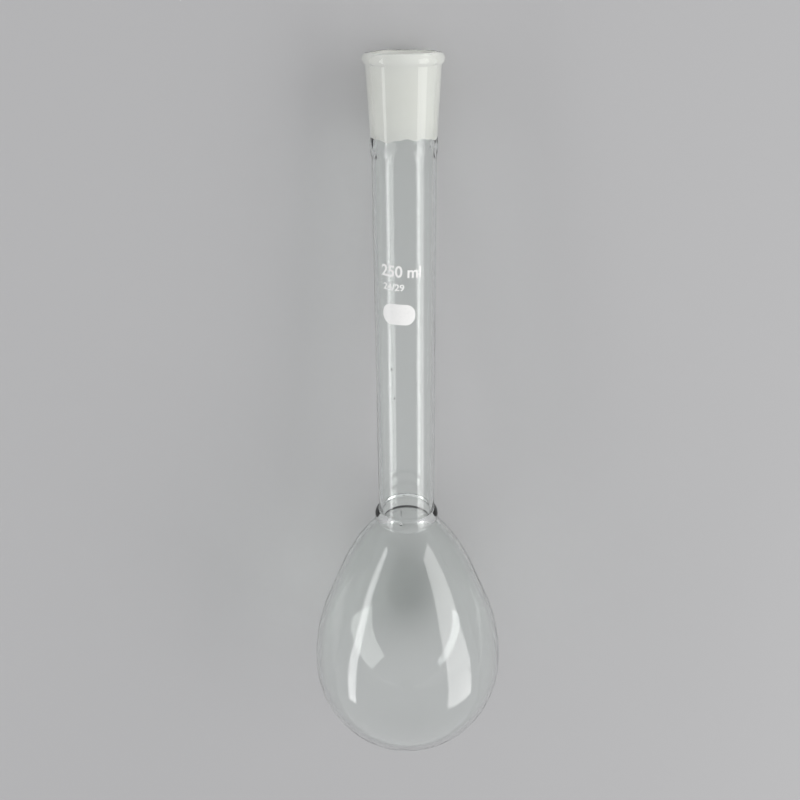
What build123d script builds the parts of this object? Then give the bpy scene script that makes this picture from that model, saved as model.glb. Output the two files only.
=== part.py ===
from build123d import *
import math
import os

# Kjeldahl flask with a ground socket, blown and fused into one piece of borosilicate glass.
# Sizes are millimetres. The flask is drawn upright, with heights counted from the bottom of the
# bulb, and is then laid on its side, because its round bottom can't stand.

# Ground socket: a standard cone of 1 in 10 that takes a stopper or a condenser of the same size
socket_bore = 24.0
socket_depth = 29.0
cone_loss = 0.1
socket_wall = 1.7

# Fire-polished bead round the mouth
bead_round = 2.2
bead_proud = 1.1
mouth_bevel = 0.3
crease_rounding = 0.4

# Weld of the socket to the neck, where the glass swells a little
weld_height = 7.0
weld_proud = 0.4

# Neck tube, as long as from the mouth to the middle of the sealing ring
neck_outside = 24.0
neck_wall = 1.5
neck_length = 188.5

# Sealing ring, the thick glass where the neck is fused to the bulb
ring_height = 6.0
ring_proud = 1.7
ring_step = 0.3
ring_rounding = 0.8
flare_rounding = 3.0

# Pear-shaped bulb: half a ball at the bottom, then a side that bends in, runs straight and bends
# in again by as much up to the sealing ring. Its height counts to the middle of the ring.
bulb_height = 121.5
bulb_outside = 86.0
side_straight = 19.0
bulb_wall = 1.5

# The inside of the bulb, the bead and the ring are drawn in flat bands, which keeps the facets
# few. A band turns by no more than this many degrees.
inside_turn = 12.0
bead_turn = 30.0

# Places that follow from the sizes above
mouth_z = bulb_height + neck_length
cone_foot_z = mouth_z - socket_depth
ring_top_z = bulb_height + ring_height / 2
ring_foot_z = bulb_height - ring_height / 2
neck_r = neck_outside / 2
neck_bore_r = neck_r - neck_wall
belly_r = bulb_outside / 2
slope = cone_loss / 2


def at(r, z):
    """A point of the profile, drawn in the plane that faces the table once the flask is laid down."""
    return Vector(0, r, z)


def toward(angle):
    """A step of one millimetre away from the axis, turned up by an angle in degrees."""
    return at(math.cos(math.radians(angle)), math.sin(math.radians(angle)))


def bend(centre, radius, start, end):
    """An arc of the profile round a centre, from one angle to another."""
    points = [centre + toward(angle) * radius for angle in (start, (start + end) / 2, end)]
    return ThreePointArc(*points)


def bands(arc, turn):
    """The arc as flat bands that turn by no more than this angle each."""
    count = math.ceil((arc % 0).get_angle(arc % 1) / turn)
    return [Line(arc @ (i / count), arc @ ((i + 1) / count)) for i in range(count)]


def bore_radius(z):
    """Radius of the ground cone at a height."""
    return socket_bore / 2 - (mouth_z - z) * slope


# Centre of the bead's round
bead_z = mouth_z - bead_round
bead_centre = at(bore_radius(bead_z) + socket_wall + bead_proud - bead_round, bead_z)

# The bulb's side joins the belly to the foot of the sealing ring. Its straight middle leans as much
# as the line between the two, and the same round at each end is tangent to it.
belly_side = at(belly_r, belly_r)
ring_foot = at(neck_r + ring_step, ring_foot_z)
lean = math.atan2(belly_side.Y - ring_foot.Y, ring_foot.Z - belly_side.Z)
side_round = ((ring_foot - belly_side).length - side_straight) / (2 * math.sin(lean))
side_lean = math.degrees(lean)
shoulder_lean = 2 * side_lean
belly_centre = belly_side - at(side_round, 0)
shoulder_centre = ring_foot - toward(shoulder_lean) * side_round


def bead_foot():
    """Where the bead's round meets the cone of the socket's outside, and its angle there."""
    gap = bead_round - bead_proud
    a = 1 + slope ** 2
    b = 2 * slope * gap
    c = gap ** 2 - bead_round ** 2
    drop = (-b - math.sqrt(b ** 2 - 4 * a * c)) / (2 * a)
    step = at(gap + slope * drop, drop)
    return bead_centre + step, math.degrees(math.atan2(step.Z, step.Y))


def flare_foot():
    """Where the bore of the neck meets the inside of the shoulder, and the shoulder's angle there."""
    radius = side_round - bulb_wall
    angle = math.degrees(math.acos((neck_bore_r - shoulder_centre.Y) / radius))
    return shoulder_centre + toward(angle) * radius, angle


def outer_skin():
    """The outer profile from the bottom of the bulb to the top of the bead."""
    side = bend(belly_centre, side_round, 0, side_lean)
    shoulder = bend(shoulder_centre, side_round, side_lean, shoulder_lean)
    ring_top = at(neck_r, ring_top_z)
    ring = ThreePointArc(ring_foot, at(neck_r + ring_proud, bulb_height), ring_top)
    weld_foot = at(neck_r, cone_foot_z - weld_height)
    socket_foot = at(bore_radius(cone_foot_z) + socket_wall, cone_foot_z)
    weld_side = (weld_foot + socket_foot) / 2 + at(weld_proud, 0)
    bead_start, bead_angle = bead_foot()
    return [
        bend(at(0, belly_r), belly_r, -90, 0),
        side,
        Line(side @ 1, shoulder @ 0),
        shoulder,
        *bands(ring, bead_turn),
        Line(ring_top, weld_foot),
        ThreePointArc(weld_foot, weld_side, socket_foot),
        Line(socket_foot, bead_start),
        *bands(bend(bead_centre, bead_round, bead_angle, 0), bead_turn),
        *bands(bend(bead_centre, bead_round, 0, 90), bead_turn),
    ]


def inner_skin():
    """The inner profile from the top of the bead down the bore to the bottom of the bulb."""
    rim = at(bore_radius(mouth_z) + mouth_bevel, mouth_z)
    mouth = at(bore_radius(mouth_z - mouth_bevel), mouth_z - mouth_bevel)
    cone_foot = at(bore_radius(cone_foot_z), cone_foot_z)
    bore_top = at(neck_bore_r, cone_foot_z - weld_height / 2)
    flare, flare_angle = flare_foot()
    shoulder = bend(shoulder_centre, side_round - bulb_wall, flare_angle, side_lean)
    side = bend(belly_centre, side_round - bulb_wall, side_lean, 0)
    ball = bend(at(0, belly_r), belly_r - bulb_wall, 0, -90)
    return [
        Line(bead_centre + at(0, bead_round), rim),
        Line(rim, mouth),
        Line(mouth, cone_foot),
        Line(cone_foot, bore_top),
        Line(bore_top, flare),
        *bands(shoulder, inside_turn),
        Line(shoulder @ 1, side @ 0),
        *bands(side, inside_turn),
        *bands(ball, inside_turn),
        Line(ball @ 1, at(0, 0)),
    ]


def edge_near(solid, point):
    """The round edge of the solid that passes nearest to a point of the profile."""
    circles = solid.edges().filter_by(GeomType.CIRCLE)
    return min(circles, key=lambda e: math.hypot(e.radius - point.Y, e.arc_center.Z - point.Z))


def blow_flask():
    """The upright flask, turned from its profile and rounded at the creases."""
    flask = revolve(make_face(outer_skin() + inner_skin()), Axis.Z, 360)
    flask = fillet(edge_near(flask, bead_foot()[0]), crease_rounding)
    flask = fillet(edge_near(flask, at(neck_r, ring_top_z)), ring_rounding)
    return fillet(edge_near(flask, flare_foot()[0]), flare_rounding)


def resting_tilt():
    """The tilt of the axis, in degrees, at which the bead and the belly both touch the table."""
    reach = bead_centre + at(bead_round, 0) - belly_centre
    return math.degrees(math.atan2(reach.Z, reach.Y) - math.acos(side_round / reach.length))


def lay_down(flask):
    """The flask on its side, mouth towards +Y, standing on z = 0 and centred over the origin."""
    flask = Rot(X=-90 - resting_tilt()) * flask
    box = flask.bounding_box()
    return Pos(0, -box.center().Y, -box.min.Z) * flask


os.makedirs("parts", exist_ok=True)
laid = lay_down(blow_flask())
print(f"axis falls {resting_tilt():.3f} degrees, glass {laid.volume / 1000:.2f} ml")
export_step(laid, "parts/flask.step")
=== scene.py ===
"""The looks of a kjeldahl flask: clear blown glass, a ground socket and a print of white enamel.

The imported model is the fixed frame. The glass is drawn again on it as one smooth shell, because the
model is faceted inside. Sizes of the flask are millimetres; what is handed to Blender is metres.
"""

import logging
import math
from dataclasses import dataclass
from enum import Enum
from functools import cached_property

import bpy
from mathutils import Matrix, Vector


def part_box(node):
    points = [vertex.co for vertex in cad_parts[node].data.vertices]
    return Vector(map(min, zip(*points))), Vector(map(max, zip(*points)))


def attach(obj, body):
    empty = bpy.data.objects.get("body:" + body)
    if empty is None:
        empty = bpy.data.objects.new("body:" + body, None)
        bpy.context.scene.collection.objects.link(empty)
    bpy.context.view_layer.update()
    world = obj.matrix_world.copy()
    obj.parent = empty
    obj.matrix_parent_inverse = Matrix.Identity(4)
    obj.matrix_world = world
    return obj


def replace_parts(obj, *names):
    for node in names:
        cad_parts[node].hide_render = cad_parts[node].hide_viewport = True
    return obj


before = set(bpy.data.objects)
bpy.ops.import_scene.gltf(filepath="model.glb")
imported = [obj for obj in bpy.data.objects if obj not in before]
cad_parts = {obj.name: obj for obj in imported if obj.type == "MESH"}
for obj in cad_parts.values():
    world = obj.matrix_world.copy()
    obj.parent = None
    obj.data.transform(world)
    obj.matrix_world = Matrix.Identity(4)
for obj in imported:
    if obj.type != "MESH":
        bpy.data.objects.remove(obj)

Colour = tuple[float, float, float, float]
Piece = bpy.types.Object
Socket = bpy.types.NodeSocket

LOG = logging.getLogger("kjeldahl_flask")
MM = 0.001
BODY = "root"
FLASK_NODE = "flask"
TINY = 1e-9


class Slot(Enum):
    """Names of the material slots for the clear glass and the white enamel."""

    GLASS = "clear_glass"
    ENAMEL = "white_enamel"


class Skin(Enum):
    """Places of the two glass finishes in the flask's material list."""

    CLEAR = 0
    GROUND = 1


# Profile of the flask


@dataclass(frozen=True)
class Point:
    """A point of the profile: its distance from the axis and its height, in millimetres."""

    r: float
    z: float

    def stepped(self, angle: float, length: float) -> "Point":
        """The point a length away, at an angle in radians turned up from straight outwards."""
        return Point(self.r + length * math.cos(angle), self.z + length * math.sin(angle))

    def toward(self, other: "Point", share: float) -> "Point":
        """The point that lies a share of the way to another one."""
        return Point(self.r + (other.r - self.r) * share, self.z + (other.z - self.z) * share)

    def gap(self, other: "Point") -> float:
        """Distance to another point."""
        return math.hypot(other.r - self.r, other.z - self.z)


def arc(centre: Point, radius: float, start: float, end: float, turn: float) -> list[Point]:
    """Points along a round part of the profile.

    Args:
        centre: Centre of the round.
        radius: Its radius in millimetres.
        start: Angle of the first point, in radians.
        end: Angle of the last point, in radians.
        turn: Most that the round may turn between two points, in radians.

    Returns:
        The points, with both ends.
    """
    count = max(1, math.ceil(abs(end - start) / turn))
    return [centre.stepped(start + (end - start) * i / count, radius) for i in range(count + 1)]


def run(start: Point, end: Point, step: float) -> list[Point]:
    """Points along a straight part of the profile.

    Args:
        start: First point.
        end: Last point.
        step: Longest distance between two points, in millimetres.

    Returns:
        The points, with both ends.
    """
    count = max(1, math.ceil(start.gap(end) / step))
    return [start.toward(end, i / count) for i in range(count + 1)]


def bulge(start: Point, end: Point, rise: float, turn: float) -> list[Point]:
    """Points along the arc that swells outwards between two points.

    Args:
        start: First point.
        end: Last point, above the first.
        rise: How far the arc stands off the straight line, in millimetres.
        turn: Most that the arc may turn between two points, in radians.

    Returns:
        The points, with both ends.
    """
    half = start.gap(end) / 2
    radius = (half * half + rise * rise) / (2 * rise)
    facing = math.atan2(start.r - end.r, end.z - start.z)
    centre = start.toward(end, 0.5).stepped(facing, rise - radius)
    reach = math.asin(half / radius)
    return arc(centre, radius, facing - reach, facing + reach, turn)


def soften(chain: list[Point], corner: Point, reach: float, steps: int) -> list[Point]:
    """The chain with one corner rounded.

    Args:
        chain: Points of the profile.
        corner: The corner, which is one of them.
        reach: How far along the chain the rounding starts and ends, in millimetres.
        steps: Number of points in the rounding.

    Returns:
        The new chain.
    """
    place = min(range(len(chain)), key=lambda i: chain[i].gap(corner))
    before = place - 1
    while chain[before].gap(corner) < reach:
        before -= 1
    after = place + 1
    while chain[after].gap(corner) < reach:
        after += 1
    first = corner.toward(chain[before], reach / corner.gap(chain[before]))
    last = corner.toward(chain[after], reach / corner.gap(chain[after]))
    curve = []
    for i in range(steps + 1):
        share = i / steps
        curve.append(first.toward(corner, share).toward(corner.toward(last, share), share))
    return chain[: before + 1] + curve + chain[after:]


@dataclass(frozen=True)
class Profile:
    """Half section of the flask in millimetres, with heights counted from the bottom of the bulb.

    A turn, in radians, and a row are the most that lies between two points of the profile.
    """

    socket_bore: float = 24.0
    socket_depth: float = 29.0
    cone_loss: float = 0.1
    socket_wall: float = 1.7
    bead_round: float = 2.18
    bead_proud: float = 1.1
    mouth_bevel: float = 0.3
    crease_reach: float = 0.27
    weld_height: float = 7.0
    weld_proud: float = 0.4
    neck_outside: float = 24.0
    neck_wall: float = 1.5
    neck_length: float = 188.5
    ring_height: float = 6.0
    ring_proud: float = 1.7
    ring_step: float = 0.3
    ring_reach: float = 0.45
    flare_reach: float = 1.25
    bulb_height: float = 121.5
    bulb_outside: float = 86.0
    side_straight: float = 19.0
    bulb_wall: float = 1.5
    fine_turn: float = math.radians(1.6)
    bead_turn: float = math.radians(9.0)
    row: float = 4.0
    fine_row: float = 0.5
    rounding_steps: int = 5

    @property
    def mouth_z(self) -> float:
        """Height of the mouth."""
        return self.bulb_height + self.neck_length

    @property
    def cone_foot_z(self) -> float:
        """Height of the narrow end of the ground cone."""
        return self.mouth_z - self.socket_depth

    @property
    def neck_r(self) -> float:
        """Outer radius of the neck."""
        return self.neck_outside / 2

    @property
    def belly_r(self) -> float:
        """Outer radius of the bulb."""
        return self.bulb_outside / 2

    @property
    def ring_foot(self) -> Point:
        """Where the shoulder of the bulb meets the sealing ring."""
        return Point(self.neck_r + self.ring_step, self.bulb_height - self.ring_height / 2)

    @property
    def lean(self) -> float:
        """Lean of the straight middle of the bulb's side, in radians."""
        return math.atan2(self.belly_r - self.ring_foot.r, self.ring_foot.z - self.belly_r)

    @property
    def side_round(self) -> float:
        """Radius of the rounds at both ends of the bulb's side."""
        chord = Point(self.belly_r, self.belly_r).gap(self.ring_foot)
        return (chord - self.side_straight) / (2 * math.sin(self.lean))

    @property
    def belly_centre(self) -> Point:
        """Centre of the side's lower round."""
        return Point(self.belly_r - self.side_round, self.belly_r)

    @property
    def shoulder_centre(self) -> Point:
        """Centre of the side's upper round."""
        return self.ring_foot.stepped(2 * self.lean, -self.side_round)

    @property
    def bead_centre(self) -> Point:
        """Centre of the bead's round."""
        z = self.mouth_z - self.bead_round
        return Point(self.bore_r(z) + self.socket_wall + self.bead_proud - self.bead_round, z)

    def bore_r(self, z: float) -> float:
        """Radius of the ground cone at a height."""
        return self.socket_bore / 2 - (self.mouth_z - z) * self.cone_loss / 2

    def outside(self) -> list[Point]:
        """The outer skin, from the bottom of the bulb to the top of the bead.

        Returns:
            The points of the skin, corners rounded.
        """
        ball = Point(0, self.belly_r)
        straight_foot = self.belly_centre.stepped(self.lean, self.side_round)
        ring_top = Point(self.neck_r, self.bulb_height + self.ring_height / 2)
        ring_rise = self.ring_proud - self.ring_step / 2
        weld_foot = Point(self.neck_r, self.cone_foot_z - self.weld_height)
        socket_foot = Point(self.bore_r(self.cone_foot_z) + self.socket_wall, self.cone_foot_z)
        gap = self.bead_round - self.bead_proud
        crease_angle = -math.acos(gap / self.bead_round)
        crease = self.bead_centre.stepped(crease_angle, self.bead_round)
        bead = arc(self.bead_centre, self.bead_round, crease_angle, math.pi / 2, self.bead_turn)
        shoulder_ends = (self.lean, 2 * self.lean)
        shoulder = arc(self.shoulder_centre, self.side_round, *shoulder_ends, self.fine_turn)
        chain = arc(ball, self.belly_r, -math.pi / 2, 0, self.fine_turn)
        chain += arc(self.belly_centre, self.side_round, 0, self.lean, self.fine_turn)[1:]
        chain += run(straight_foot, shoulder[0], self.row)[1:]
        chain += shoulder[1:]
        chain += bulge(self.ring_foot, ring_top, ring_rise, self.bead_turn)[1:]
        chain += run(ring_top, weld_foot, self.row)[1:]
        chain += bulge(weld_foot, socket_foot, self.weld_proud, self.fine_turn)[1:]
        chain += run(socket_foot, crease, self.row)[1:] + bead[1:]
        chain = soften(chain, crease, self.crease_reach, self.rounding_steps)
        return soften(chain, ring_top, self.ring_reach, self.rounding_steps)

    def inside(self) -> list[Point]:
        """The inner skin, from the mouth down the bore to the bottom of the bulb.

        Returns:
            The points of the skin, corners rounded.
        """
        rim = Point(self.bore_r(self.mouth_z) + self.mouth_bevel, self.mouth_z)
        mouth = Point(self.bore_r(self.mouth_z - self.mouth_bevel), self.mouth_z - self.mouth_bevel)
        cone_foot = Point(self.bore_r(self.cone_foot_z), self.cone_foot_z)
        bore_r = self.neck_r - self.neck_wall
        bore_top = Point(bore_r, self.cone_foot_z - self.weld_height / 2)
        weld_end = Point(bore_r, self.cone_foot_z - 2 * self.weld_height)
        round_r = self.side_round - self.bulb_wall
        flare_angle = math.acos((bore_r - self.shoulder_centre.r) / round_r)
        shoulder = arc(self.shoulder_centre, round_r, flare_angle, self.lean, self.fine_turn)
        side = arc(self.belly_centre, round_r, self.lean, 0, self.fine_turn)
        ball_r = self.belly_r - self.bulb_wall
        ball = arc(Point(0, self.belly_r), ball_r, 0, -math.pi / 2, self.fine_turn)
        chain = [rim] + run(mouth, cone_foot, 2 * self.fine_row)
        chain += run(cone_foot, bore_top, self.fine_row)[1:]
        chain += run(bore_top, weld_end, self.fine_row)[1:]
        chain += run(weld_end, shoulder[0], self.row)[1:]
        chain += shoulder[1:]
        chain += run(shoulder[-1], side[0], self.row)[1:]
        chain += side[1:] + ball[1:]
        return soften(chain, shoulder[0], self.flare_reach, self.rounding_steps)


@dataclass(frozen=True)
class Lie:
    """How the flask lies on the table: on its belly and its bead, with the mouth towards +Y."""

    profile: Profile

    @cached_property
    def tilt(self) -> float:
        """Fall of the axis towards the mouth, at which belly and bead both touch the table.

        Returns:
            The angle in radians.
        """
        bead, belly = self.profile.bead_centre, self.profile.belly_centre
        reach_r = bead.r + self.profile.bead_round - belly.r
        reach_z = bead.z - belly.z
        reach = math.hypot(reach_r, reach_z)
        return math.atan2(reach_z, reach_r) - math.acos(self.profile.side_round / reach)

    @cached_property
    def along(self) -> Vector:
        """Direction of the axis, towards the mouth."""
        return Vector((0, math.cos(self.tilt), -math.sin(self.tilt)))

    @cached_property
    def up(self) -> Vector:
        """Direction square to the axis that faces up."""
        return Vector((0, math.sin(self.tilt), math.cos(self.tilt)))

    @cached_property
    def side(self) -> Vector:
        """Direction square to the axis that faces +X."""
        return Vector((1, 0, 0))

    @cached_property
    def belly(self) -> Vector:
        """Where the axis crosses the widest part of the bulb.

        Returns:
            The point in metres.
        """
        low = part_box(FLASK_NODE)[0]
        side_round, belly_r = self.profile.side_round, self.profile.belly_r
        height = side_round - (side_round - belly_r) * math.cos(self.tilt)
        return Vector((0, low.y + belly_r * MM, height * MM))

    def outwards(self, angle: float) -> Vector:
        """Direction away from the axis at an angle round it in radians."""
        return self.up * math.cos(angle) + self.side * math.sin(angle)

    def place(self, r: float, angle: float, z: float) -> Vector:
        """A point of the flask as it lies.

        Args:
            r: Distance from the axis in millimetres.
            angle: Angle round the axis in radians, from the top of the lying flask towards +X.
            z: Height along the axis in millimetres, from the bottom of the bulb.

        Returns:
            The point in metres.
        """
        step = self.along * (z - self.profile.belly_r) + self.outwards(angle) * r
        return self.belly + step * MM

    def axis_place(self, point: Vector) -> tuple[float, float, float]:
        """Where a point lies on the flask.

        Args:
            point: A point in metres.

        Returns:
            Distance from the axis and angle round it, then height along it.
        """
        step = (point - self.belly) / MM
        out = step.dot(self.up)
        z = step.dot(self.along) + self.profile.belly_r
        return math.hypot(out, step.x), math.atan2(step.x, out), z

    def matrix(self, angle: float, z: float, r: float) -> Matrix:
        """Frame on the skin of the flask.

        Args:
            angle: Angle round the axis in radians.
            z: Height along the axis in millimetres.
            r: Distance from the axis in millimetres.

        Returns:
            A matrix whose x runs round the axis, y along it and z outwards.
        """
        outwards = self.outwards(angle)
        around = self.along.cross(outwards)
        turn = Matrix((around, self.along, outwards)).transposed().to_4x4()
        return Matrix.Translation(self.place(r, angle, z)) @ turn


# Work with Blender's operators


def clear_selection() -> None:
    """Leaves nothing selected, in object mode."""
    if bpy.context.object and bpy.context.object.mode != "OBJECT":
        bpy.ops.object.mode_set(mode="OBJECT")
    bpy.ops.object.select_all(action="DESELECT")


def take_up(piece: Piece) -> None:
    """Selects one piece alone and makes it the active one.

    Args:
        piece: The piece.
    """
    clear_selection()
    piece.select_set(True)
    bpy.context.view_layer.objects.active = piece


def edit_all(piece: Piece) -> None:
    """Opens one piece in edit mode with all of it selected.

    Args:
        piece: The piece.
    """
    take_up(piece)
    bpy.ops.object.mode_set(mode="EDIT")
    bpy.ops.mesh.select_all(action="SELECT")


def settle(piece: Piece, name: str) -> Piece:
    """Puts a piece's place into its mesh and names it.

    Args:
        piece: The finished piece.
        name: Its name.

    Returns:
        The same piece, with its object at the origin.
    """
    take_up(piece)
    bpy.ops.object.transform_apply()
    piece.name = name
    piece.data.name = name
    return piece


def merge_and_face_out(piece: Piece, gap: float) -> None:
    """Merges the doubles of a closed piece and turns its faces outwards.

    Args:
        piece: The piece.
        gap: Distance in metres under which points are merged.
    """
    edit_all(piece)
    bpy.ops.mesh.remove_doubles(threshold=gap)
    bpy.ops.mesh.normals_make_consistent()
    bpy.ops.object.mode_set(mode="OBJECT")


def belong(piece: Piece) -> Piece:
    """Ties a piece to the flask's body.

    Args:
        piece: The finished piece.

    Returns:
        The same piece.
    """
    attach(piece, BODY)
    return piece


# Finishes


@dataclass(frozen=True)
class MixSockets:
    """Numbers of the sockets of a node that mixes two things, because their names repeat."""

    first: int
    second: int
    result: int
    share: int = 0


NUMBER_MIX = MixSockets(first=2, second=3, result=0)
COLOUR_MIX = MixSockets(first=6, second=7, result=2)
SHADER_MIX = MixSockets(first=1, second=2, result=0)

GRAZING_BLEND = 0.35


@dataclass(frozen=True)
class Grain:
    """Noise in a finish, and how strong and how deep in metres the bumps are that it makes."""

    scale: float
    detail: float
    roughness: float
    strength: float = 0.0
    depth: float = 0.0


class Nodes:
    """Adds shader nodes to a tree and joins them."""

    def __init__(self, tree: bpy.types.NodeTree) -> None:
        """Starts from an empty tree."""
        tree.nodes.clear()
        self.tree = tree

    def add(self, kind: str, **values: object) -> bpy.types.Node:
        """A new node.

        Args:
            kind: Blender's name of the node's type.
            values: Its attributes, or its inputs by their name in lower case with underscores.
                An input takes a value, or the output that feeds it.

        Returns:
            The node.
        """
        node = self.tree.nodes.new(kind)
        for name, value in values.items():
            inputs = {slot.name.lower().replace(" ", "_"): slot for slot in reversed(node.inputs)}
            if name not in inputs:
                setattr(node, name, value)
            elif isinstance(value, Socket):
                self.join(value, inputs[name])
            else:
                inputs[name].default_value = value
        return node

    def join(self, source: Socket, target: Socket) -> None:
        """Runs a link from an output to an input."""
        self.tree.links.new(source, target)

    def noise(self, grain: Grain, place: Socket) -> bpy.types.Node:
        """Noise of one grain, laid on the given coordinates."""
        values = {"scale": grain.scale, "detail": grain.detail, "roughness": grain.roughness}
        return self.add("ShaderNodeTexNoise", vector=place, **values)

    def bumps(self, grain: Grain, height: Socket) -> Socket:
        """The normal of a surface that has the bumps of one grain, raised by a height."""
        values = {"strength": grain.strength, "distance": grain.depth}
        return self.add("ShaderNodeBump", height=height, **values).outputs["Normal"]

    def ramp(self, *stops: tuple[float, Colour], **values: object) -> bpy.types.Node:
        """A ramp from one colour to another.

        Args:
            stops: Place and colour of each of its two ends.
            values: What feeds it, as for any node.

        Returns:
            The ramp node.
        """
        node = self.add("ShaderNodeValToRGB", **values)
        for element, (place, colour) in zip(node.color_ramp.elements, stops):
            element.position = place
            element.color = colour
        return node

    def show(self, shader: bpy.types.Node) -> None:
        """Makes a shader the look of the material."""
        self.add("ShaderNodeOutputMaterial", surface=shader.outputs[0])


def new_material(name: str) -> tuple[bpy.types.Material, Nodes]:
    """An empty node material.

    Args:
        name: Its name.

    Returns:
        The material and the hand that adds nodes to it.
    """
    material = bpy.data.materials.new(name)
    material.use_nodes = True
    return material, Nodes(material.node_tree)


@dataclass(frozen=True)
class GlassRipple:
    """Unevenness of blown glass, as a node group: long draw lines and soft waves along the axis."""

    name: str = "glass_ripple"
    lines: Grain = Grain(scale=300.0, detail=2.0, roughness=0.45)
    waves: Grain = Grain(scale=60.0, detail=1.0, roughness=0.4)
    wave_share: float = 0.5

    def group(self) -> bpy.types.NodeTree:
        """Builds the node group.

        Returns:
            The group, whose height output varies over the surface.
        """
        tree = bpy.data.node_groups.new(self.name, "ShaderNodeTree")
        tree.interface.new_socket("Coordinates", in_out="INPUT", socket_type="NodeSocketVector")
        for label, value in (
            ("Line Scale", self.lines.scale),
            ("Wave Scale", self.waves.scale),
            ("Wave Share", self.wave_share),
        ):
            socket = tree.interface.new_socket(label, in_out="INPUT", socket_type="NodeSocketFloat")
            socket.default_value = value
        tree.interface.new_socket("Height", in_out="OUTPUT", socket_type="NodeSocketFloat")
        nodes = Nodes(tree)
        given = nodes.add("NodeGroupInput")
        lines = nodes.noise(self.lines, given.outputs["Coordinates"])
        waves = nodes.noise(self.waves, given.outputs["Coordinates"])
        mix = nodes.add("ShaderNodeMix", data_type="FLOAT")
        nodes.join(given.outputs["Line Scale"], lines.inputs["Scale"])
        nodes.join(given.outputs["Wave Scale"], waves.inputs["Scale"])
        nodes.join(given.outputs["Wave Share"], mix.inputs[NUMBER_MIX.share])
        nodes.join(lines.outputs[0], mix.inputs[NUMBER_MIX.first])
        nodes.join(waves.outputs[0], mix.inputs[NUMBER_MIX.second])
        nodes.add("NodeGroupOutput", height=mix.outputs[NUMBER_MIX.result])
        return tree


@dataclass(frozen=True)
class ClearGlass:
    """Clear borosilicate glass, with the faint lines and waves that drawing and blowing leave."""

    lie: Lie
    tint: Colour = (0.965, 0.982, 0.972, 1)
    ior: float = 1.473
    roughness: float = 0.0
    line_scale: float = 340.0
    wave_scale: float = 95.0
    wave_share: float = 0.6
    stretch: float = 0.12
    ripple_strength: float = 0.6
    ripple_depth: float = 0.12 * MM
    shade_edge: float = 0.35
    shade_face: float = 0.93

    def along_axis(self, nodes: Nodes) -> bpy.types.Node:
        """Object coordinates turned into line with the flask's axis and stretched along it.

        Args:
            nodes: The hand that adds nodes.

        Returns:
            The mapping node.
        """
        return nodes.add(
            "ShaderNodeMapping",
            vector=nodes.add("ShaderNodeTexCoord").outputs["Object"],
            rotation=(self.lie.tilt, 0, 0),
            scale=(1, self.stretch, 1),
        )

    def build(self) -> bpy.types.Material:
        """Makes the material.

        Returns:
            The material.
        """
        material, nodes = new_material("clear_glass")
        ripple = nodes.add(
            "ShaderNodeGroup",
            node_tree=GlassRipple().group(),
            coordinates=self.along_axis(nodes).outputs[0],
            line_scale=self.line_scale,
            wave_scale=self.wave_scale,
            wave_share=self.wave_share,
        )
        bump = nodes.add(
            "ShaderNodeBump",
            strength=self.ripple_strength,
            distance=self.ripple_depth,
            height=ripple.outputs["Height"],
        )
        glass = nodes.add(
            "ShaderNodeBsdfPrincipled",
            base_color=self.tint,
            roughness=self.roughness,
            metallic=0.0,
            ior=self.ior,
            transmission_weight=1.0,
            normal=bump.outputs["Normal"],
        )
        let_lamps_through(nodes, glass, self.shade_face, self.shade_edge, self.tint)
        return material


def let_lamps_through(
    nodes: Nodes, glass: bpy.types.Node, face: float, edge: float, tint: Colour
) -> None:
    """Ends a glass material so that its shadow is light where the wall is seen square on.

    Args:
        nodes: The hand that adds nodes.
        glass: The shader of the glass.
        face: Share of the light that passes square through the surface.
        edge: Share that passes at a grazing angle.
        tint: Colour of the light that passes.
    """
    grazing = nodes.add("ShaderNodeLayerWeight", blend=GRAZING_BLEND)
    share = nodes.add(
        "ShaderNodeMapRange", value=grazing.outputs["Facing"], to_min=face, to_max=edge
    )
    colour = nodes.add("ShaderNodeMix", data_type="RGBA", blend_type="MULTIPLY")
    colour.inputs[COLOUR_MIX.share].default_value = 1.0
    nodes.join(share.outputs["Result"], colour.inputs[COLOUR_MIX.first])
    colour.inputs[COLOUR_MIX.second].default_value = tint
    clear = nodes.add("ShaderNodeBsdfTransparent", color=colour.outputs[COLOUR_MIX.result])
    ray = nodes.add("ShaderNodeLightPath")
    mix = nodes.add("ShaderNodeMixShader")
    nodes.join(ray.outputs["Is Shadow Ray"], mix.inputs[SHADER_MIX.share])
    nodes.join(glass.outputs[0], mix.inputs[SHADER_MIX.first])
    nodes.join(clear.outputs[0], mix.inputs[SHADER_MIX.second])
    nodes.show(mix)


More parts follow.
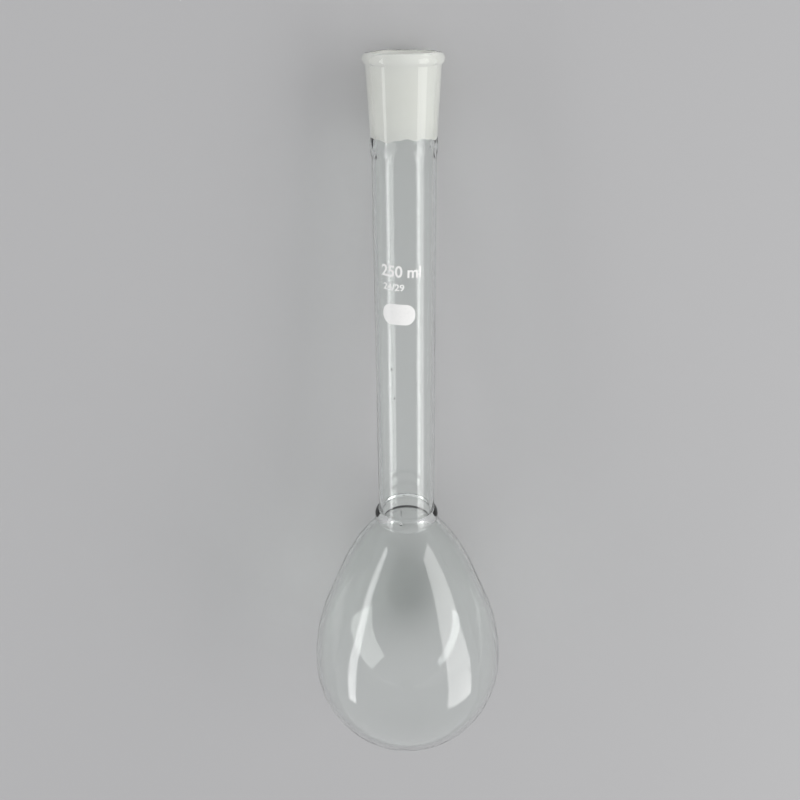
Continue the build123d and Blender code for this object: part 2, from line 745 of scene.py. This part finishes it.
@dataclass(frozen=True)
class GroundGlass:
    """Glass ground to a fine milky frost, as inside a standard socket."""

    milk: Colour = (0.88, 0.885, 0.86, 1)
    warm: Colour = (0.80, 0.80, 0.755, 1)
    ior: float = 1.473
    roughness: float = 0.62
    roughness_spread: float = 0.08
    clearness: float = 0.42
    patches: Grain = Grain(scale=70.0, detail=3.0, roughness=0.5)
    grain: Grain = Grain(2600.0, detail=3.0, roughness=0.6, strength=0.45, depth=0.04 * MM)
    shade: float = 0.45

    def build(self) -> bpy.types.Material:
        """Makes the material.

        Returns:
            The material.
        """
        material, nodes = new_material("ground_glass")
        place = nodes.add("ShaderNodeTexCoord").outputs["Object"]
        patches = nodes.noise(self.patches, place)
        grain = nodes.noise(self.grain, place)
        colour = nodes.add("ShaderNodeMix", data_type="RGBA")
        nodes.join(patches.outputs[0], colour.inputs[COLOUR_MIX.share])
        colour.inputs[COLOUR_MIX.first].default_value = self.milk
        colour.inputs[COLOUR_MIX.second].default_value = self.warm
        rough = nodes.add(
            "ShaderNodeMapRange",
            value=grain.outputs[0],
            to_min=self.roughness - self.roughness_spread,
            to_max=self.roughness + self.roughness_spread,
        )
        glass = nodes.add(
            "ShaderNodeBsdfPrincipled",
            base_color=colour.outputs[COLOUR_MIX.result],
            roughness=rough.outputs["Result"],
            metallic=0.0,
            ior=self.ior,
            transmission_weight=self.clearness,
            normal=nodes.bumps(self.grain, grain.outputs[0]),
        )
        let_lamps_through(nodes, glass, self.shade, self.shade, self.milk)
        return material


@dataclass(frozen=True)
class WhiteEnamel:
    """White enamel, screened on and fired: opaque, slightly glossy and a little uneven."""

    white: Colour = (0.90, 0.90, 0.885, 1)
    thin: Colour = (0.86, 0.865, 0.85, 1)
    thin_below: float = 0.3
    white_above: float = 0.5
    roughness: float = 0.32
    roughness_spread: float = 0.1
    patches: Grain = Grain(scale=900.0, detail=4.0, roughness=0.6)
    grain: Grain = Grain(5200.0, detail=2.0, roughness=0.5, strength=0.5, depth=0.012 * MM)

    def build(self) -> bpy.types.Material:
        """Makes the material.

        Returns:
            The material.
        """
        material, nodes = new_material("white_enamel")
        place = nodes.add("ShaderNodeTexCoord").outputs["Object"]
        patches = nodes.noise(self.patches, place)
        grain = nodes.noise(self.grain, place)
        ramp = nodes.ramp(
            (self.thin_below, self.thin), (self.white_above, self.white), fac=patches.outputs[0]
        )
        rough = nodes.add(
            "ShaderNodeMapRange",
            value=patches.outputs[0],
            to_min=self.roughness - self.roughness_spread,
            to_max=self.roughness + self.roughness_spread,
        )
        paint = nodes.add(
            "ShaderNodeBsdfPrincipled",
            base_color=ramp.outputs[0],
            roughness=rough.outputs["Result"],
            metallic=0.0,
            normal=nodes.bumps(self.grain, grain.outputs[0]),
        )
        nodes.show(paint)
        return material


# The glass


@dataclass
class GlassShell:
    """The blown and fused glass, spun from its profile as one closed shell."""

    profile: Profile
    lie: Lie
    segments: int = 180
    merge_gap: float = 0.002 * MM
    flat_angle: float = math.radians(40)
    lump_size: float = 3.2 * MM
    lump_depth: float = 0.7 * MM
    lump_layers: int = 1
    lump_fade: float = 5.0
    weld_wander: float = 0.5
    weld_waves: tuple[tuple[int, float, float], ...] = (
        (3, 0.7, 1.0),
        (7, 2.1, 0.6),
        (13, 0.0, 0.45),
    )
    weld_group: str = "weld"

    def build(self) -> Piece:
        """Makes the shell and its two finishes.

        Returns:
            The finished piece, which stands for the CAD flask.
        """
        shell = self.trace()
        self.spin(shell)
        self.wander(shell)
        self.melt(shell)
        shell.data.materials.append(ClearGlass(self.lie).build())
        shell.data.materials.append(GroundGlass().build())
        self.grind(shell)
        self.tuck_in(shell)
        settle(shell, "flask_glass")
        bpy.ops.object.shade_smooth_by_angle(angle=self.flat_angle)
        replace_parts(belong(shell), FLASK_NODE)
        return shell

    def trace(self) -> Piece:
        """Draws the profile as a chain of points in the plane that faces up.

        Returns:
            The chain.
        """
        skins = self.profile.outside() + self.profile.inside()
        points = [self.lie.place(point.r, 0, point.z) for point in skins]
        clear_selection()
        bpy.ops.mesh.primitive_plane_add(size=MM, location=points[0])
        chain = bpy.context.object
        bpy.ops.object.transform_apply()
        edit_all(chain)
        bpy.ops.mesh.merge(type="CENTER")
        bpy.ops.mesh.select_mode(type="VERT")
        bpy.ops.mesh.select_all(action="SELECT")
        for here, there in zip(points, points[1:]):
            bpy.ops.mesh.extrude_vertices_move(TRANSFORM_OT_translate={"value": there - here})
        bpy.ops.object.mode_set(mode="OBJECT")
        return chain

    def spin(self, chain: Piece) -> None:
        """Turns the chain once round the axis and closes the shell.

        Args:
            chain: The profile, which becomes the shell.
        """
        edit_all(chain)
        bpy.ops.mesh.spin(
            steps=self.segments, angle=2 * math.pi, center=self.lie.belly, axis=self.lie.along
        )
        bpy.ops.object.mode_set(mode="OBJECT")
        merge_and_face_out(chain, self.merge_gap)

    def is_inner(self, r: float, z: float) -> bool:
        """Tells whether a place near the socket or the neck is on the inner skin.

        Args:
            r: Distance from the axis in millimetres.
            z: Height along the axis in millimetres.

        Returns:
            Whether it is.
        """
        half_wall = self.profile.neck_wall / 2
        if z > self.profile.cone_foot_z:
            return r < self.profile.bore_r(z) + half_wall
        return r < self.profile.neck_r - half_wall + TINY

    def weld_edge(self, angle: float) -> float:
        """How far the ground part's edge wanders at an angle round the axis, in millimetres."""
        waves = (size * math.sin(angle * count + start) for count, start, size in self.weld_waves)
        return self.weld_wander * sum(waves)

    def wander(self, shell: Piece) -> None:
        """Moves the narrow end of the ground cone up and down, where the socket was welded on.

        Args:
            shell: The closed shell.
        """
        foot = self.profile.cone_foot_z
        for vertex in shell.data.vertices:
            r, angle, z = self.lie.axis_place(vertex.co)
            off = abs(z - foot)
            if off < self.lump_fade and self.is_inner(r, z):
                share = (1 - off / self.lump_fade) ** 2
                vertex.co += self.lie.along * self.weld_edge(angle) * share * MM

    def melt(self, shell: Piece) -> None:
        """Makes the inner skin lumpy under the socket, where the glass was melted together.

        Args:
            shell: The closed shell.
        """
        group = shell.vertex_groups.new(name=self.weld_group)
        centre = self.profile.cone_foot_z - self.profile.weld_height / 2
        for vertex in shell.data.vertices:
            r, _, z = self.lie.axis_place(vertex.co)
            share = 1 - abs(z - centre) / self.lump_fade
            if share > 0 and self.is_inner(r, z):
                group.add([vertex.index], share, "REPLACE")
        lumps = bpy.data.textures.new("melted_lumps", "CLOUDS")
        lumps.noise_scale = self.lump_size
        lumps.noise_depth = self.lump_layers
        swell = shell.modifiers.new("swell", "DISPLACE")
        swell.texture = lumps
        swell.vertex_group = self.weld_group
        swell.strength = self.lump_depth
        take_up(shell)
        bpy.ops.object.modifier_apply(modifier=swell.name)
        shell.vertex_groups.clear()
        bpy.data.textures.remove(lumps)

    def tuck_in(self, shell: Piece) -> None:
        """Draws the smooth shell in by a hair, so that it stays in the box of the faceted model.

        Args:
            shell: The closed shell.
        """
        low, high = corners(shell)
        node_low, node_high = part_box(FLASK_NODE)
        for vertex in shell.data.vertices:
            for i in range(3):
                share = (vertex.co[i] - low[i]) / (high[i] - low[i])
                vertex.co[i] = node_low[i] + (node_high[i] - node_low[i]) * share

    def grind(self, shell: Piece) -> None:
        """Gives the ground finish to the faces of the cone.

        Args:
            shell: The closed shell, with both finishes in its material list.
        """
        top = self.profile.mouth_z - self.profile.mouth_bevel
        for face in shell.data.polygons:
            r, angle, z = self.lie.axis_place(face.center)
            low = self.profile.cone_foot_z + self.weld_edge(angle)
            ground = low < z < top and self.is_inner(r, z)
            face.material_index = (Skin.GROUND if ground else Skin.CLEAR).value


# Bubbles in the glass


@dataclass(frozen=True)
class Bubble:
    """A bubble of air shut in the wall, drawn out along the axis.

    Its angle round the axis is in radians, the rest of its place and its radius in millimetres.
    """

    angle: float
    z: float
    r: float
    radius: float
    stretch: float


@dataclass
class Seeds:
    """The few small bubbles that the blown glass holds."""

    lie: Lie
    bubbles: tuple[Bubble, ...] = (
        Bubble(angle=math.radians(-28.7), z=193.5, r=11.25, radius=0.30, stretch=1.6),
        Bubble(angle=math.radians(-23.2), z=181.2, r=11.25, radius=0.24, stretch=2.0),
        Bubble(angle=math.radians(-5.1), z=136.9, r=11.25, radius=0.26, stretch=1.4),
        Bubble(angle=math.radians(-11.6), z=127.6, r=11.25, radius=0.20, stretch=7.0),
        Bubble(angle=math.radians(-11.6), z=122.6, r=11.9, radius=0.62, stretch=0.8),
    )
    segments: int = 20
    rings: int = 12
    tail: float = 1.5
    air_in_glass: float = 0.679
    colour: Colour = (1, 1, 1, 1)
    grain: Grain = Grain(1500.0, detail=1.0, roughness=0.4, strength=0.2, depth=0.02 * MM)

    def air(self) -> bpy.types.Material:
        """Makes the look of air seen from inside the glass.

        Returns:
            The material.
        """
        material, nodes = new_material("shut_in_air")
        grain = nodes.noise(self.grain, nodes.add("ShaderNodeTexCoord").outputs["Object"])
        air = nodes.add(
            "ShaderNodeBsdfPrincipled",
            base_color=self.colour,
            roughness=0.0,
            metallic=0.0,
            ior=self.air_in_glass,
            transmission_weight=1.0,
            normal=nodes.bumps(self.grain, grain.outputs[0]),
        )
        let_lamps_through(nodes, air, face=1.0, edge=1.0, tint=self.colour)
        return material

    def blow(self, bubble: Bubble) -> Piece:
        """Makes one bubble, with a longer tail on the side of the mouth.

        Args:
            bubble: Its place and size.

        Returns:
            The bubble as a mesh in its place.
        """
        clear_selection()
        bpy.ops.mesh.primitive_uv_sphere_add(
            segments=self.segments, ring_count=self.rings, radius=bubble.radius * MM
        )
        blob = bpy.context.object
        edit_all(blob)
        bpy.ops.transform.resize(value=(1, bubble.stretch, 1))
        bpy.ops.object.mode_set(mode="OBJECT")
        for vertex in blob.data.vertices:
            if vertex.co.y > 0:
                vertex.co.y *= self.tail
        blob.data.transform(self.lie.matrix(bubble.angle, bubble.z, bubble.r))
        return blob

    def build(self) -> Piece:
        """Makes all the bubbles as one piece.

        Returns:
            The finished piece.
        """
        blobs = [self.blow(bubble) for bubble in self.bubbles]
        take_up(blobs[0])
        for blob in blobs:
            blob.select_set(True)
        bpy.ops.object.join()
        seeds = settle(bpy.context.object, "seed_bubbles")
        bpy.ops.object.shade_smooth()
        seeds.data.materials.append(self.air())
        return belong(seeds)


# The print


@dataclass(frozen=True)
class Mark:
    """A part of the print, in millimetres: a line of letters, or a plain spot if it has no words.

    Its centre round the neck is counted from the top of the lying flask.
    """

    name: str
    arc_place: float
    z: float
    width: float
    height: float
    words: str = ""


@dataclass
class NeckPrint:
    """White enamel print on the neck: the capacity, the size of the socket and a marking spot."""

    profile: Profile
    lie: Lie
    marks: tuple[Mark, ...] = (
        Mark("capacity_print", arc_place=-1.7, z=233.7, width=16.0, height=4.6, words="250 ml"),
        Mark("socket_size_print", arc_place=-4.6, z=227.6, width=8.6, height=2.7, words="24/29"),
        Mark("marking_spot", arc_place=-2.7, z=216.8, width=13.2, height=8.3),
    )
    sunk: float = 0.02
    proud: float = 0.035
    strip: float = 0.5
    slope: float = math.radians(-1.8)
    letter_boldness: float = 0.022
    letter_depth: float = 0.5
    letter_steps: int = 6
    spot_corner: float = 3.8
    corner_steps: int = 10
    flat_angle: float = math.radians(30)

    def build(self) -> list[Piece]:
        """Makes the pieces of the print.

        Returns:
            The finished pieces.
        """
        enamel = WhiteEnamel().build()
        pieces = []
        for mark in self.marks:
            flat = self.lettering(mark) if mark.words else self.spot(mark)
            self.cut_strips(flat)
            self.wrap(flat, mark)
            flat.data.materials.append(enamel)
            settle(flat, mark.name)
            bpy.ops.object.shade_smooth_by_angle(angle=self.flat_angle)
            pieces.append(belong(flat))
        return pieces

    @property
    def thickness(self) -> float:
        """Thickness of the enamel in metres, with the part that sinks into the glass."""
        return (self.sunk + self.proud) * MM

    def lettering(self, mark: Mark) -> Piece:
        """Flat letters as a thin solid, centred over the origin.

        Args:
            mark: The words and the size of the line.

        Returns:
            The letters as a mesh.
        """
        clear_selection()
        bpy.ops.object.text_add(location=(0, 0, 0))
        letters = bpy.context.object
        letters.data.body = mark.words
        letters.data.offset = self.letter_boldness
        letters.data.extrude = self.letter_depth
        letters.data.resolution_u = self.letter_steps
        bpy.ops.object.convert(target="MESH")
        low, high = corners(letters)
        size = high - low
        stretch = (mark.width * MM / size.x, mark.height * MM / size.y, self.thickness / size.z)
        centring = Matrix.Translation(-(low + high) / 2)
        letters.data.transform(Matrix.Diagonal(stretch).to_4x4() @ centring)
        merge_and_face_out(letters, TINY)
        return letters

    def spot(self, mark: Mark) -> Piece:
        """The rounded spot for pencil marks, as a thin solid centred over the origin.

        Args:
            mark: The size of the spot.

        Returns:
            The spot as a mesh.
        """
        clear_selection()
        bpy.ops.mesh.primitive_plane_add(size=1, location=(0, 0, -self.thickness / 2))
        spot = bpy.context.object
        spot.scale = (mark.width * MM, mark.height * MM, 1)
        bpy.ops.object.transform_apply()
        edit_all(spot)
        bpy.ops.mesh.bevel(
            offset=self.spot_corner * MM, segments=self.corner_steps, affect="VERTICES"
        )
        bpy.ops.mesh.select_all(action="SELECT")
        bpy.ops.mesh.extrude_region_move(TRANSFORM_OT_translate={"value": (0, 0, self.thickness)})
        bpy.ops.object.mode_set(mode="OBJECT")
        merge_and_face_out(spot, TINY)
        return spot

    def cut_strips(self, flat: Piece) -> None:
        """Cuts a flat piece into narrow upright strips, so that it can follow the round neck.

        Args:
            flat: The flat piece, centred over the origin.
        """
        low, high = corners(flat)
        take_up(flat)
        bpy.ops.object.mode_set(mode="EDIT")
        count = math.ceil((high.x - low.x) / (self.strip * MM))
        for i in range(1, count):
            bpy.ops.mesh.select_all(action="SELECT")
            bpy.ops.mesh.bisect(
                plane_co=(low.x + (high.x - low.x) * i / count, 0, 0), plane_no=(1, 0, 0)
            )
        bpy.ops.object.mode_set(mode="OBJECT")

    def wrap(self, flat: Piece, mark: Mark) -> None:
        """Rolls a flat piece round the neck.

        Args:
            flat: The flat piece, centred over the origin.
            mark: Its place on the neck.
        """
        flat.data.transform(Matrix.Rotation(self.slope, 4, "Z"))
        skin = self.profile.neck_r + (self.proud - self.sunk) / 2
        for vertex in flat.data.vertices:
            x, y, out = vertex.co / MM
            angle = (mark.arc_place + x) / self.profile.neck_r
            vertex.co = self.lie.place(skin + out, angle, mark.z + y)


def corners(piece: Piece) -> tuple[Vector, Vector]:
    """Lowest and highest corner of a mesh.

    Args:
        piece: The piece.

    Returns:
        The two corners in metres.
    """
    places = [vertex.co for vertex in piece.data.vertices]
    low = Vector(min(place[i] for place in places) for i in range(3))
    high = Vector(max(place[i] for place in places) for i in range(3))
    return low, high


# The studio


@dataclass(frozen=True)
class Floor:
    """Plain pale floor under the flask."""

    size: float = 6.0
    colour: Colour = (0.47, 0.47, 0.475, 1)
    roughness: float = 0.9
    shine: float = 0.2
    grain: Grain = Grain(900.0, detail=3.0, roughness=0.6, strength=0.15, depth=0.1 * MM)

    def build(self) -> Piece:
        """Makes the floor.

        Returns:
            The floor.
        """
        clear_selection()
        bpy.ops.mesh.primitive_plane_add(size=self.size, location=(0, 0, 0))
        floor = bpy.context.object
        floor.name = "floor"
        material, nodes = new_material("floor_paper")
        grain = nodes.noise(self.grain, nodes.add("ShaderNodeTexCoord").outputs["Object"])
        paper = nodes.add(
            "ShaderNodeBsdfPrincipled",
            base_color=self.colour,
            roughness=self.roughness,
            specular_ior_level=self.shine,
            normal=nodes.bumps(self.grain, grain.outputs[0]),
        )
        nodes.show(paper)
        floor.data.materials.append(material)
        return floor


@dataclass(frozen=True)
class SoftBox:
    """A flat soft lamp that faces the flask, with its length in line with it."""

    name: str
    direction: tuple[float, float, float]
    width: float
    radiance: float
    length: float = 1.7
    distance: float = 1.1
    colour: tuple[float, float, float] = (1.0, 1.0, 1.0)

    def build(self, target: Vector) -> Piece:
        """Makes the lamp.

        Args:
            target: The point that it faces.

        Returns:
            The lamp.
        """
        lamp = bpy.data.lights.new(self.name, "AREA")
        lamp.shape = "RECTANGLE"
        lamp.size = self.length
        lamp.size_y = self.width
        lamp.energy = self.radiance * self.length * self.width * math.pi
        lamp.color = self.colour
        holder = bpy.data.objects.new(self.name, lamp)
        bpy.context.scene.collection.objects.link(holder)
        away = Vector(self.direction).normalized()
        across = away.cross(Vector((0, 1, 0))).normalized()
        turn = Matrix((across.cross(away), across, away)).transposed().to_4x4()
        holder.matrix_world = Matrix.Translation(target + away * self.distance) @ turn
        holder.visible_camera = False
        return holder


@dataclass
class Studio:
    """Plain soft studio: a pale floor, a grey room and two windows of light."""

    lie: Lie
    profile: Profile
    soft_boxes: tuple[SoftBox, ...] = (
        SoftBox(
            name="window_right",
            direction=(0.86, 0.0, 0.50),
            width=0.6,
            radiance=2.5,
            colour=(1.0, 0.995, 0.98),
        ),
        SoftBox(name="window_left", direction=(-0.88, 0.0, 0.42), width=0.2, radiance=3.2),
    )
    room_low: Colour = (0.62, 0.62, 0.63, 1)
    room_high: Colour = (0.66, 0.66, 0.67, 1)
    room_high_above: float = 0.8

    def build(self) -> None:
        """Makes the floor, the room and the lamps."""
        Floor().build()
        target = self.lie.place(0, 0, self.profile.bulb_height)
        for box in self.soft_boxes:
            box.build(target)
        world = bpy.data.worlds.new("room")
        bpy.context.scene.world = world
        world.use_nodes = True
        nodes = Nodes(world.node_tree)
        place = nodes.add("ShaderNodeTexCoord").outputs["Generated"]
        split = nodes.add("ShaderNodeSeparateXYZ", vector=place)
        ramp = nodes.ramp(
            (0.0, self.room_low), (self.room_high_above, self.room_high), fac=split.outputs["Z"]
        )
        sky = nodes.add("ShaderNodeBackground", strength=1.0, color=ramp.outputs[0])
        nodes.add("ShaderNodeOutputWorld", surface=sky.outputs[0])


@dataclass(frozen=True)
class PhotoCamera:
    """Camera that sees the flask as the photograph does.

    The flask is placed by the camera's own directions: right, up and ahead.
    """

    profile: Profile
    lie: Lie
    lens: float = 40.5
    sensor: float = 36.0
    clip_start: float = 0.01
    lean_back: float = math.radians(24.66)
    roll: float = math.radians(-0.57)
    mouth_right: float = 1.133
    mouth_up: float = 122.137
    mouth_ahead: float = 315.463

    def directions(self) -> tuple[Vector, Vector, Vector]:
        """The flask's sideways, along and upward directions, as the camera sees them.

        Returns:
            Each as a vector of right, up and ahead.
        """
        sine, cosine = math.sin(self.roll), math.cos(self.roll)
        level, drop = math.cos(self.lean_back), math.sin(self.lean_back)
        side = Vector((cosine, -sine, 0))
        along = Vector((sine * level, cosine * level, -drop))
        return side, along, along.cross(side)

    def in_frame(self, seen: Vector) -> Vector:
        """Turns a direction that the camera sees into one of the flask's frame."""
        side, along, up = (seen.dot(direction) for direction in self.directions())
        return self.lie.side * side + self.lie.along * along + self.lie.up * up

    def build(self) -> Piece:
        """Makes the camera and sets it as the scene's.

        Returns:
            The camera.
        """
        right = self.in_frame(Vector((1, 0, 0)))
        up = self.in_frame(Vector((0, 1, 0)))
        ahead = self.in_frame(Vector((0, 0, 1)))
        mouth = self.lie.place(0, 0, self.profile.mouth_z)
        seen = Vector((self.mouth_right, self.mouth_up, self.mouth_ahead)) * MM
        place = mouth - right * seen.x - up * seen.y - ahead * seen.z
        data = bpy.data.cameras.new("photo_camera")
        data.lens = self.lens
        data.sensor_width = self.sensor
        data.clip_start = self.clip_start
        camera = bpy.data.objects.new("photo_camera", data)
        bpy.context.scene.collection.objects.link(camera)
        turn = Matrix((right, up, -ahead)).transposed().to_4x4()
        camera.matrix_world = Matrix.Translation(place) @ turn
        bpy.context.scene.camera = camera
        return camera


def main() -> None:
    """Builds the flask's looks and its studio, and logs the number of faces of each piece."""
    logging.basicConfig(level=logging.INFO, format="%(name)s: %(message)s")
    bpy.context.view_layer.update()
    profile = Profile()
    lie = Lie(profile)
    shell = GlassShell(profile, lie).build()
    LOG.info("%s: %d faces", shell.name, len(shell.data.polygons))
    for piece in [Seeds(lie).build()] + NeckPrint(profile, lie).build():
        LOG.info("%s: %d faces", piece.name, len(piece.data.polygons))
    Studio(lie, profile).build()
    PhotoCamera(profile, lie).build()
    bpy.context.scene.view_settings.view_transform = "Standard"


if __name__ == "__main__":
    main()
